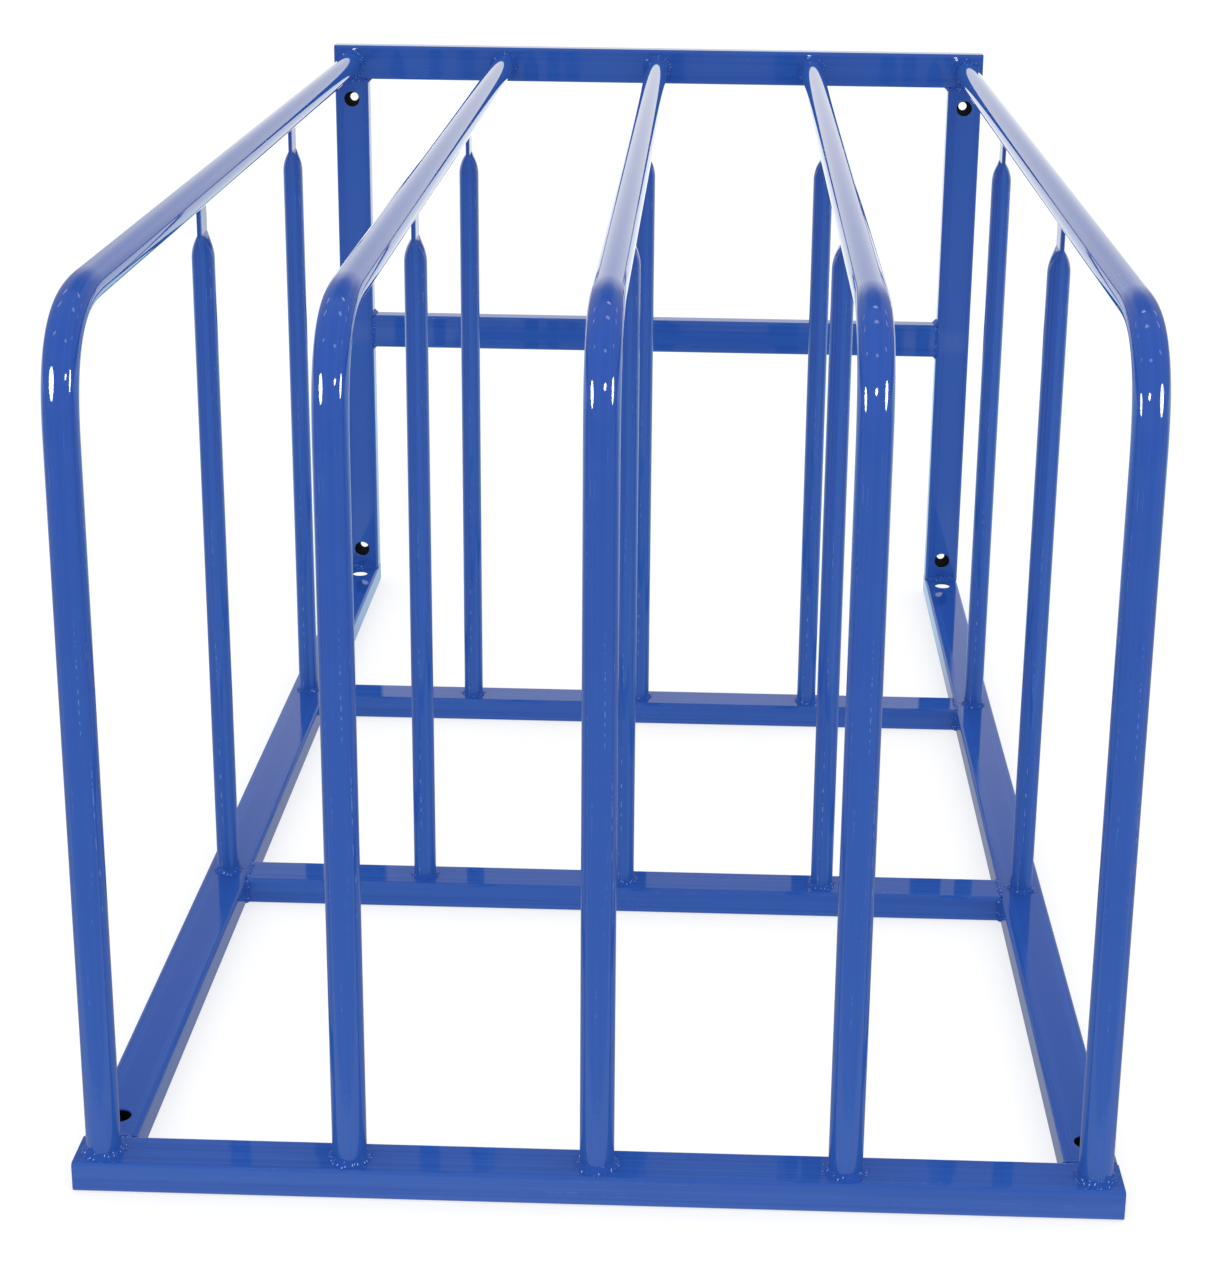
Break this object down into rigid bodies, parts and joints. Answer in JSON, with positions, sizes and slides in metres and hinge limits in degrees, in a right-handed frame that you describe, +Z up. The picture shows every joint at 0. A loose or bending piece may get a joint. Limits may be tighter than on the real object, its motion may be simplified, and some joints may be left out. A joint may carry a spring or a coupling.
{
  "type": "vertical sheet rack",
  "caption": "Floor rack of welded blue tube that stores sheets and panels on edge in open bays between round dividers.",
  "frame": {"origin": "on the floor, at the centre of the rack's outline", "axes": "+X across the bays to the right seen from the front, +Y from the open front to the back frame, +Z up"},
  "size_m": [0.97, 1.76, 0.855],
  "materials": {
    "blue_paint": "gloss"
  },
  "bodies": {
    "root": {"front_beam": "blue_paint", "side_rail_left": "blue_paint", "side_rail_right": "blue_paint", "cross_tube_front": "blue_paint", "cross_tube_rear": "blue_paint", "back_upright_left": "blue_paint", "back_upright_right": "blue_paint", "back_top_rail": "blue_paint", "back_mid_rail": "blue_paint", "divider_hoop_1": "blue_paint", "divider_hoop_2": "blue_paint", "divider_hoop_3": "blue_paint", "divider_hoop_4": "blue_paint", "divider_hoop_5": "blue_paint", "front_post_1": "blue_paint", "front_post_2": "blue_paint", "front_post_3": "blue_paint", "front_post_4": "blue_paint", "front_post_5": "blue_paint", "rear_post_1": "blue_paint", "rear_post_2": "blue_paint", "rear_post_3": "blue_paint", "rear_post_4": "blue_paint", "rear_post_5": "blue_paint"}
  },
  "joints": []
}
